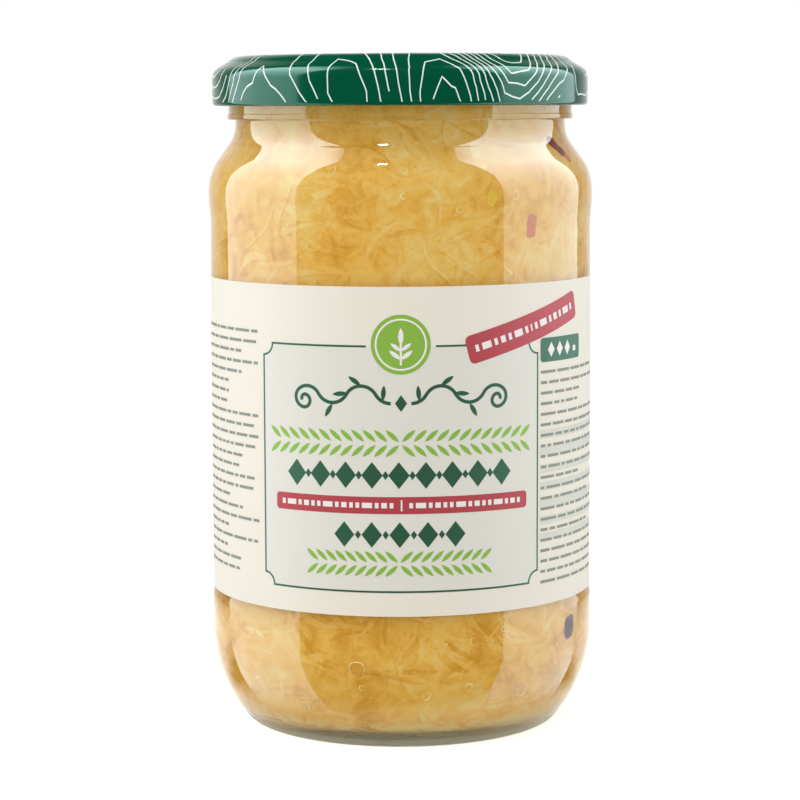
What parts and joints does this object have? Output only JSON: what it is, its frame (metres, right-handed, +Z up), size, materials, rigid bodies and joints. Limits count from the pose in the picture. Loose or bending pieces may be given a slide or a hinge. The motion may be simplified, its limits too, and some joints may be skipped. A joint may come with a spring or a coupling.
{
  "type": "sauerkraut jar",
  "caption": "Clear glass jar filled with sauerkraut, with a lacquered twist-off metal lid and a paper label wrapped round it.",
  "frame": {"origin": "on the jar's axis, in the plane of the ring that it stands on", "axes": "+Z up along the jar's axis, towards the lid; the middle of the label faces -Y"},
  "size_m": [0.0872, 0.0872, 0.1514],
  "materials": {
    "glass": "clear soda-lime glass, faintly green where it is thick",
    "sauerkraut": "moist shredded cabbage in a pale golden broth",
    "label_paper": "coated cream paper with plain printed fields",
    "lid_lacquer": "glossy dark green lacquer on tinplate, with thin pale contour lines"
  },
  "bodies": {
    "root": {"jar": "glass", "sauerkraut": "sauerkraut", "label": "label_paper", "lid": "lid_lacquer"}
  },
  "joints": []
}
